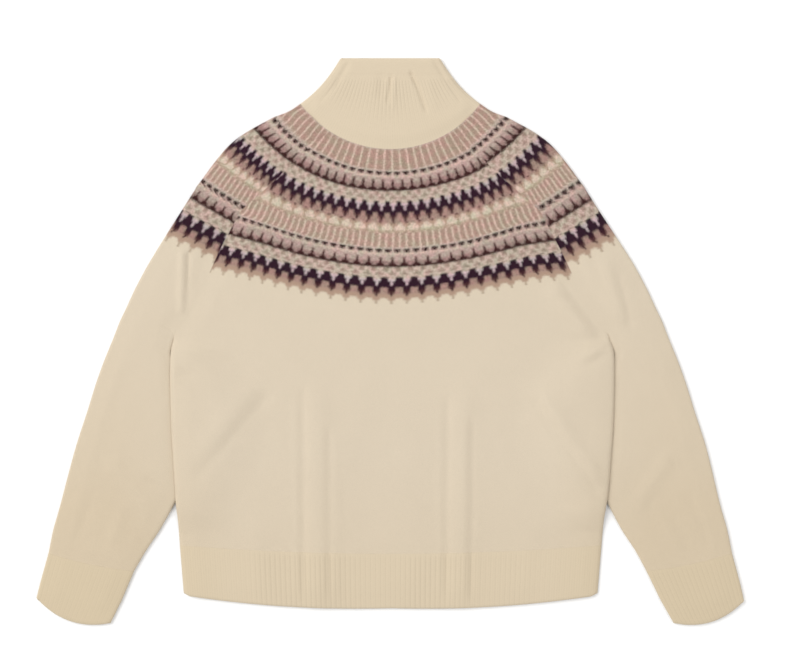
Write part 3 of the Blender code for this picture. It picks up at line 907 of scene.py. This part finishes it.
def sleeve_fullness(side, station, skin):
    """How high a sleeve's upper layer stands above the flat one."""
    x, y = skin.x, skin.y
    beside = side * (x - side_x(side, y))
    clear = sum(share * ramp(beside, start, end) for share, start, end in BESIDE_BODY)
    clear = np.where(station < UNDERARM, ramp(skin.inside, 0, SEAM_EASE), clear)
    creases = np.maximum(crease_height(x, y, SLEEVE_CREASES) + SLEEVE_LOFT, 0)
    return (creases + WAVE * waves(x, y)) * clear * skin.free()


def sleeve_rounding(station, skin):
    below = ramp(station, UNDERARM, UNDERARM + SLEEVE_TURN)
    drop = MOST_DROP * rounding(skin.inside, SIDE_ROUND) * below
    drop = drop + SEAM_DEPTH * rounding(skin.inside, SEAM_ROUND) * (1 - below)
    drop = drop + SEAM_DEPTH * rounding(seam_distance(skin.y), SEAM_ROUND)
    drop = np.minimum(drop, MOST_DROP) * skin.layered(-1, 1)
    return np.where(np.abs(skin.way) < FOLD_INSET, 0, drop)


def make_sleeve(name, side, material):
    t = stations(UNDERARM + 1 + len(SLEEVE), steps=8)
    t = np.union1d(t, np.linspace(0, UNDERARM, UNDERARM * YOKE_STEPS + 1))
    station = t[:, None]
    lines, bows = sleeve_lines(side, t), sleeve_bows(side, t)
    skin = tube(OUTSIDE, lines, bows, SLEEVE_COLUMNS)
    full = crease_height(skin.x, skin.y, SLEEVE_FOLDS) + sleeve_fullness(side, station, skin)
    lift = skin.layered(full)
    outer = grid(skin.x, skin.y, skin.flat + lift + sleeve_rounding(station, skin))
    within = tube(INSIDE, lines, bows, SLEEVE_COLUMNS)
    folds = within.layered(crease_height(within.x, within.y, SLEEVE_FOLDS))
    inner = grid(within.x, within.y, within.flat + folds)
    uvs = sleeve_coordinates(side, lines[0], lines[1], skin)
    return shell(name, outer, inner, uvs, material)


# Cuffs


def cuff_lines(side, t):
    joint, middle, edge = np.array([CUFF_JOINT, CUFF_MIDDLE[side], CUFF_EDGE[side]])
    joint = joint + (middle - joint) * (SEAM_GAP / math.dist(joint[:2], middle[:2]))
    first, second = np.clip(t, 0, 1)[:, None], np.clip(t - 1, 0, 1)[:, None]
    rows = joint + (middle - joint) * first + (edge - middle) * second
    return mirrored(rows[:, 2:4], side), mirrored(rows[:, :2], side), rows[:, 4]


def cuff_fullness(skin, to_edge):
    return skin.layered(SLEEVE_LOFT * skin.free() * ramp(to_edge, 0, CUFF_EASE))


def cuff_relief(skin, rib, down, to_edge):
    """What the ribs and the rounded edges add to the outside."""
    drop = MOST_DROP * (rounding(skin.inside, SIDE_ROUND) + rounding(to_edge, EDGE_ROUND))
    drop = np.minimum(drop + SEAM_DEPTH * rounding(down, SEAM_ROUND), MOST_DROP)
    at_fold = np.abs(skin.way) < FOLD_INSET
    round_fold = np.sin(np.clip(skin.flat / UPPER_TOP, 0, 1))
    above = np.where(at_fold, rib * round_fold, rib - drop)
    below = np.where(at_fold, 0, np.minimum(drop + RIB_HEIGHT - rib, MOST_DROP))
    return skin.layered(above, below)


def make_cuff(name, side, material):
    t = stations(2, steps=14, close=0.5)
    seam, fold, bow = cuff_lines(side, t)
    lines, bows = (seam, fold, seam), (bow * side, bow * -side)
    counts = (CUFF_RIBS * RIB_COLUMNS, CUFF_RIBS * RIB_COLUMNS)
    skin, within = (tube(each, lines, bows, counts) for each in (OUTSIDE, INSIDE))
    down = length_down(fold)
    to_edge = down[-1] - down
    ribs = skin.turned() * CUFF_RIBS
    strength = CUFF_RIBBING[side] * ramp(down, 0, RIB_FADE)
    rib = RIB_HEIGHT * rib_profile(ribs) * strength
    height = skin.flat + cuff_fullness(skin, to_edge) + cuff_relief(skin, rib, down, to_edge)
    outer = grid(skin.x, skin.y, height)
    inner = grid(within.x, within.y, within.flat + cuff_fullness(within, to_edge))
    uvs = rib_coordinates(ribs, down / STITCH_HEIGHT, strength)
    return shell(name, outer, inner, uvs, material)


# Neck


def neck_base(share, front):
    """The neck's seam on the front or the back, at shares from -1 to 1."""
    radius = NECK_SEAM_RADIUS - SEAM_GAP
    half = math.asin(NECK_SEAM_HALF / radius)
    if front:
        angle = share * half
        return radius * np.sin(angle), NECK_SEAM_CENTRE_Y - radius * np.cos(angle)
    fold_y = NECK_SEAM_CENTRE_Y - radius * math.cos(half)
    low_y = NECK_BACK_LOW_Y + SEAM_GAP
    rise = fold_y - low_y
    wide = (NECK_SEAM_HALF**2 + rise**2) / (2 * rise)
    x = share * NECK_SEAM_HALF
    return x, low_y + wide - np.sqrt(wide**2 - x**2)


def neck_place(share, level, front):
    """A point of the neck: level 0 is its seam, 1 the band's foot and 2 the top edge."""
    base_x, base_y = neck_base(share, front)
    band = NECK_BAND / (NECK_TOP_Y - base_y)
    step = NECK_BAND_STEP / (NECK_TOP_Y - base_y)
    t = np.where(level <= 1, level * (1 - band - step), 1 - band * (2 - level))
    waist = 1 - NECK_WAIST * 4 * t * (1 - t)
    top_y = NECK_TOP_Y - NECK_CORNER * rounding(1 - np.abs(share), NECK_CORNER_SHARE)
    x = base_x + (NECK_TOP_HALF * share - base_x) * t
    return x * waist, base_y + (top_y - base_y) * t


def neck_ring(skin, level, edge, count):
    """A skin of the neck: its front, right fold, back and left fold."""
    inset, height = skin.bend()
    flat = np.linspace(-1, 1, count + 1)[None, 1:-1] * (1 - skin.flat_from / edge)
    bend = 1 - inset / edge
    parts = (
        (flat, True, skin.top),
        (bend, True, height),
        (-flat, False, skin.bottom),
        (-bend[:, ::-1], True, height[::-1]),
    )
    return np.hstack([grid(*neck_place(share, level, front), z) for share, front, z in parts])


def neck_ribs(count):
    flat, bend = np.arange(1, count), np.linspace(0, 1, FOLD_STEPS + 2)[1:-1]
    around = [flat, count + bend, count + flat, 2 * count + bend, [2 * count + 2]]
    return np.hstack(around)[None, :] / RIB_COLUMNS


def neck_ribbing(x, level, edge):
    between = ramp(level, *NECK_RIBS_START) * ramp(level, *NECK_RIBS_END)
    return between * lookup(NECK_RIBBING, x / edge)


def neck_fullness(x, y, level, edge):
    """How high the neck's front stands above the flat one."""
    creases = np.maximum(crease_height(x, y, NECK_CREASES) + NECK_LOFT, 0)
    ends = ramp(level, 0, NECK_SEAM_EASE) * ramp(level, 2, NECK_TOP_EASE)
    return creases * ramp(edge - np.abs(x), 0, NECK_EASE) * ends


def neck_rounding(level):
    seam = SEAM_DEPTH * rounding(level * NECK_MEAN_HEIGHT, SEAM_ROUND)
    brim = MOST_DROP * rounding((2 - level) * NECK_BAND, EDGE_ROUND)
    return np.minimum(seam + brim, MOST_DROP)


def make_neck(material):
    level = [stations(1, steps=30, close=0.5), 1 + stations(1, steps=8, close=0.5)]
    level = np.concatenate(level)[:, None]
    edge, _ = neck_place(1.0, level, True)
    count = NECK_RIBS * RIB_COLUMNS
    outer, inner = (neck_ring(skin, level, edge, count) for skin in (OUTSIDE, INSIDE))
    layer = np.repeat([1, 0, -1, 0], [count - 1, FOLD_STEPS] * 2)
    x, y = outer[..., 0], outer[..., 1]
    ribs = neck_ribs(count)
    strength = neck_ribbing(x, level, edge)
    rib = rib_profile(ribs[:, :-1]) * strength
    full = neck_fullness(x, y, level, edge)
    fall = neck_rounding(level)
    band = BAND_HEIGHT * ramp(level, 1.0, NECK_BAND_EDGE)
    above = RIB_HEIGHT * rib + band + full - fall
    sunk = np.minimum(RIB_HEIGHT * (1 - rib) * strength + fall, MOST_DROP)
    outer[..., 2] += np.where(layer > 0, above, 0) + np.where(layer < 0, sunk, 0)
    inner[..., 2] += np.where(layer > 0, full, 0)
    rows_up = (2 - level) * NECK_MEAN_HEIGHT / STITCH_HEIGHT
    strength = np.hstack([strength, strength[:, :1]])
    uvs = rib_coordinates(ribs, rows_up, strength)
    return shell("neck", outer, inner, uvs, material, closed=True)


# Node trees


class Wire:
    """A number or colour in a node tree.  Arithmetic on it adds Math nodes."""

    def __init__(self, tree, socket):
        self.tree = tree
        self.socket = socket

    def math(self, operation, *others):
        node = self.tree.nodes.new("ShaderNodeMath")
        node.operation = operation
        for slot, value in zip(node.inputs, (self, *others)):
            plug(self.tree, value, slot)
        return Wire(self.tree, node.outputs[0])

    __add__ = partialmethod(math, "ADD")
    __sub__ = partialmethod(math, "SUBTRACT")
    __mul__ = partialmethod(math, "MULTIPLY")
    __truediv__ = partialmethod(math, "DIVIDE")
    __pow__ = partialmethod(math, "POWER")
    __lt__ = partialmethod(math, "LESS_THAN")
    __gt__ = partialmethod(math, "GREATER_THAN")
    __abs__ = partialmethod(math, "ABSOLUTE")
    floor = partialmethod(math, "FLOOR")

    def wrapped(self, size):
        return self.math("FLOORED_MODULO", size)

    def clamped(self):
        return self.math("MAXIMUM", 0.0).math("MINIMUM", 1.0)

    def faded(self, start, end):
        """Rises evenly from 0 at start to 1 at end."""
        return ((self - start) / (end - start)).clamped()


def opaque(colour):
    return (*colour, 1.0)


def plug(tree, value, slot):
    if isinstance(value, Wire):
        tree.links.new(value.socket, slot)
    elif isinstance(value, tuple):
        slot.default_value = opaque(value)
    else:
        slot.default_value = value


def parted(tree, kind, socket):
    """The parts of a vector or a colour, by a Separate node of the given kind."""
    parts = tree.nodes.new(kind)
    tree.links.new(socket, parts.inputs[0])
    return [Wire(tree, output) for output in parts.outputs]


def uv(tree, layer):
    place = tree.nodes.new("ShaderNodeUVMap")
    place.uv_map = layer
    return parted(tree, "ShaderNodeSeparateXYZ", place.outputs[0])[:2]


def object_place(tree):
    return tree.nodes.new("ShaderNodeTexCoord").outputs["Object"]


def noise(tree, scale, detail=2.0):
    """Three independent noises round 0.5, in object coordinates."""
    node = tree.nodes.new("ShaderNodeTexNoise")
    node.inputs["Scale"].default_value = scale
    node.inputs["Detail"].default_value = detail
    tree.links.new(object_place(tree), node.inputs["Vector"])
    return parted(tree, "ShaderNodeSeparateColor", node.outputs["Color"])


def choose(tree, factor, first, second, blend="MIX"):
    """first where factor is 0 and second where it is 1, both colours."""
    node = tree.nodes.new("ShaderNodeMix")
    node.data_type = "RGBA"
    node.blend_type = blend
    for slot, value in ((0, factor), (6, first), (7, second)):
        plug(tree, value, node.inputs[slot])
    return Wire(tree, node.outputs[2])


def tinted(tree, colour, factor, first, second):
    return choose(tree, 1.0, colour, choose(tree, factor, first, second), "MULTIPLY")


def mottled(tree, colour, scale, contrast, first, second):
    """The colour tinted here and there, by a noise of the given scale."""
    patches = (noise(tree, scale)[0] - 0.5) * contrast + 0.5
    return tinted(tree, colour, patches.clamped(), first, second)


def pick(tree, factor, first, second):
    """first where factor is 0 and second where it is 1, both numbers."""
    node = tree.nodes.new("ShaderNodeMix")
    for slot, value in ((0, factor), (2, first), (3, second)):
        plug(tree, value, node.inputs[slot])
    return Wire(tree, node.outputs[0])


def colour_ramp(tree, factor, stops):
    """A ramp with a flat step from each stop's position."""
    node = tree.nodes.new("ShaderNodeValToRGB")
    ramp_stops = node.color_ramp
    ramp_stops.interpolation = "CONSTANT"
    first, last = ramp_stops.elements
    ramp_stops.elements.remove(last)
    for index, (position, colour) in enumerate(stops):
        stop = first if index == 0 else ramp_stops.elements.new(position)
        stop.position = position
        stop.color = opaque(colour)
    plug(tree, factor, node.inputs[0])
    return Wire(tree, node.outputs[0])


# The pattern


class Stitch:
    """Where a point lies in its stitch of stocking stitch.

    leg is 0 in the middle of the V and 1 at its two sides, and fall is the share of
    the way down the yarn.
    """

    def __init__(self, u, v):
        self.column = u.floor()
        self.leg = abs((u - self.column) * 2 - 1)
        hung = v - (self.leg * -1 + 1) * V_DEPTH
        self.row = hung.floor()
        self.fall = hung - self.row

    def height(self):
        """The yarn's roundness: two legs, each full along its middle."""
        across = (self.leg - self.leg * self.leg) * 4
        along = (self.fall - self.fall * self.fall) * 4
        return across**0.6 * (along * 0.45 + 0.55)


def chart_colour(tree, band, column, row):
    wide, tall = len(band.repeat[0]), len(band.repeat)
    across = (column + 0.5).wrapped(wide)
    down = (row - band.start + 0.01).wrapped(tall).floor()
    factor = (down * wide + across) / (wide * tall)
    stops, last = [], None
    for index, letter in enumerate("".join(band.repeat)):
        if letter != last:
            stops.append((index / (wide * tall), YARNS[letter]))
        last = letter
    return colour_ramp(tree, factor, stops)


def by_band(tree, row, values):
    """The value, below 100, of the band that a row lies in."""
    stops = [(band.start / 100, (v / 100,) * 3) for band, v in zip(BANDS, values)]
    return colour_ramp(tree, row / 100, stops) * 100


def column_place(tree, row):
    place, _ = uv(tree, "Yoke")
    lean, _ = uv(tree, "Lean")
    at = row - V_DEPTH / 2
    middle = by_band(tree, at, [band.start + band.rows / 2 for band in BANDS])
    density = by_band(tree, at, [band.halves * len(band.repeat[0]) for band in BANDS])
    return (place + lean * (middle - row)) * density + 0.5


def banded(tree, stitch, in_yoke):
    """The yarn of each stitch: the charts' in the yoke, and cream below it."""
    above = (stitch.row < YOKE_ROWS) * in_yoke
    colour = choose(tree, above, CREAM, SHELL)
    for band in BANDS:
        inside = (stitch.row > band.start - 0.5) * (stitch.row < band.start + band.rows - 0.5)
        yarn = chart_colour(tree, band, stitch.column, stitch.row)
        colour = choose(tree, inside * in_yoke, colour, yarn)
    return colour


def side_shade(tree, row):
    place, _ = uv(tree, "Yoke")
    shades = by_band(tree, row, [band.shade for band in BANDS])
    return abs(place).faded(*SHADED_PLACES) * shades


# Materials


def new_material(name):
    material = bpy.data.materials.new(name)
    material.use_nodes = True
    material["slot"] = name
    return material, material.node_tree


# Painted shade: how far the cream is coloured darker and warmer down the sleeves and toward the
# hem
def painted_falloff(tree):
    x, y, _ = parted(tree, "ShaderNodeSeparateXYZ", object_place(tree))
    on_sleeve = abs(x).faded(*SLEEVE_X) * (y * -SLEEVE_WARMTH + SLEEVE_WARMTH_START)
    return (on_sleeve + y.faded(*HEM_Y) * HEM_WARMTH + LEAST_WARMTH).clamped()


def wool(tree, colour, height, bump):
    shader = tree.nodes["Principled BSDF"]
    for name, value in WOOL.items():
        shader.inputs[name].default_value = value
    fuzz = noise(tree, scale=900.0)[0] - 0.5
    patch = noise(tree, scale=14.0)[0] - 0.5
    shade = height * YARN_SHADE + GROUND_SHADE + fuzz * FUZZ_SHADE + patch * PATCH_SHADE
    colour = tinted(tree, colour, shade, BLACK, WHITE)
    tree.links.new(colour.socket, shader.inputs["Base Color"])
    relief = tree.nodes.new("ShaderNodeBump")
    relief.inputs["Strength"].default_value = bump
    relief.inputs["Distance"].default_value = YARN_RELIEF * MM
    plug(tree, height + fuzz * FUZZ_RELIEF, relief.inputs["Height"])
    tree.links.new(relief.outputs[0], shader.inputs["Normal"])


def fair_isle_knit():
    """Stocking stitch with the charted bands round the yoke."""
    material, tree = new_material("fair_isle_knit")
    _, row = uv(tree, "Yoke")
    across, down = uv(tree, "Knit")
    in_yoke = row < YOKE_ROWS
    hairs = noise(tree, scale=2600.0, detail=0.0)
    u = pick(tree, in_yoke, across, column_place(tree, row)) + (hairs[0] - 0.5) * FRAY
    v = pick(tree, in_yoke, down, row) + (hairs[1] - 0.5) * FRAY
    stitch = Stitch(u, v)
    colour = banded(tree, stitch, in_yoke)
    dyed = mottled(tree, mottled(tree, colour, *HEATHER), *FLECKS)
    dyed = tinted(tree, dyed, side_shade(tree, row), WHITE, BLACK)
    colour = choose(tree, row < BANDS[-1].start, colour, dyed)
    # Painted shade: the cream coloured darker and warmer down the sleeves and toward the hem
    falloff_tint = tuple(edge / cream for edge, cream in zip(CREAM_EDGE, CREAM))
    colour = tinted(tree, colour, painted_falloff(tree), WHITE, falloff_tint)
    wool(tree, colour, stitch.height(), 0.5)
    return material


def rib_knit():
    """Ribbed knitting: a column of stocking stitches on each rib, a groove between."""
    material, tree = new_material("rib_knit")
    ribs, down = uv(tree, "Knit")
    strength, _ = uv(tree, "Ribbing")
    stitch = Stitch(ribs, down)
    groove = abs((ribs - ribs.floor()) * 2 - 1)
    crest = groove * strength * -1 + 1
    # Painted shade: the rib cream coloured darker and warmer down the sleeves and toward the hem
    cream = choose(tree, painted_falloff(tree), RIB_CREAM, RIB_CREAM_EDGE)
    # Painted shade in the grooves between the ribs
    colour = tinted(tree, cream, crest, GROOVE_SHADE, WHITE)
    wool(tree, colour, stitch.height() * 0.5 + crest * 0.5, 0.4)
    return material


def floor_material():
    material, tree = new_material("floor")
    shader = tree.nodes["Principled BSDF"]
    shader.inputs["Roughness"].default_value = 0.9
    colour = choose(tree, noise(tree, scale=3.0)[0], (0.90,) * 3, (0.92,) * 3)
    tree.links.new(colour.socket, shader.inputs["Base Color"])
    return material


# Stage


def make_floor():
    bpy.ops.mesh.primitive_plane_add(size=6.0, location=(0, 0, -0.0005))
    floor = bpy.context.object
    floor.name = "floor"
    floor.data.materials.append(floor_material())


def make_light():
    world = bpy.data.worlds.new("studio")
    world.use_nodes = True
    background = world.node_tree.nodes["Background"]
    background.inputs["Color"].default_value = opaque(WHITE)
    background.inputs["Strength"].default_value = WORLD_LIGHT
    bpy.context.scene.world = world
    for name, place, size, power in LAMPS:
        light = bpy.data.lights.new(name, "AREA")
        light.energy = power
        light.size = size
        lamp = bpy.data.objects.new(name, light)
        lamp.location = place
        lamp.rotation_euler = (-lamp.location).to_track_quat("-Z", "Y").to_euler()
        bpy.context.collection.objects.link(lamp)


def make_camera():
    lens = bpy.data.cameras.new("camera")
    lens.lens = LENS
    lens.sensor_width = SENSOR
    camera = bpy.data.objects.new("camera", lens)
    distance = VIEW_WIDTH * LENS / SENSOR
    camera.location = (CAMERA_X * MM, CAMERA_Y * MM, (distance + UPPER_TOP) * MM)
    bpy.context.collection.objects.link(camera)
    bpy.context.scene.camera = camera
    bpy.context.scene.view_settings.view_transform = "Standard"


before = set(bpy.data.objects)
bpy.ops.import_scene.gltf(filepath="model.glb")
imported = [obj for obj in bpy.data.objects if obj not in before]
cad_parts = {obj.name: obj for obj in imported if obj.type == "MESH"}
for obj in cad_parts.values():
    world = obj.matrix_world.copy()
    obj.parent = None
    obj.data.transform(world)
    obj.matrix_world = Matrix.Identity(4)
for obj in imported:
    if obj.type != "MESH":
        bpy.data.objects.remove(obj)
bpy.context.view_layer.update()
make_camera()
make_floor()
make_light()
fair_isle = fair_isle_knit()
rib = rib_knit()
front = make_front(fair_isle)
back = make_back(fair_isle)
sleeve_left = make_sleeve("sleeve_left", -1, fair_isle)
sleeve_right = make_sleeve("sleeve_right", 1, fair_isle)
neck = make_neck(rib)
hem_front = make_hem("hem_rib_front", rib, True)
hem_back = make_hem("hem_rib_back", rib, False)
cuff_left = make_cuff("cuff_left", -1, rib)
cuff_right = make_cuff("cuff_right", 1, rib)
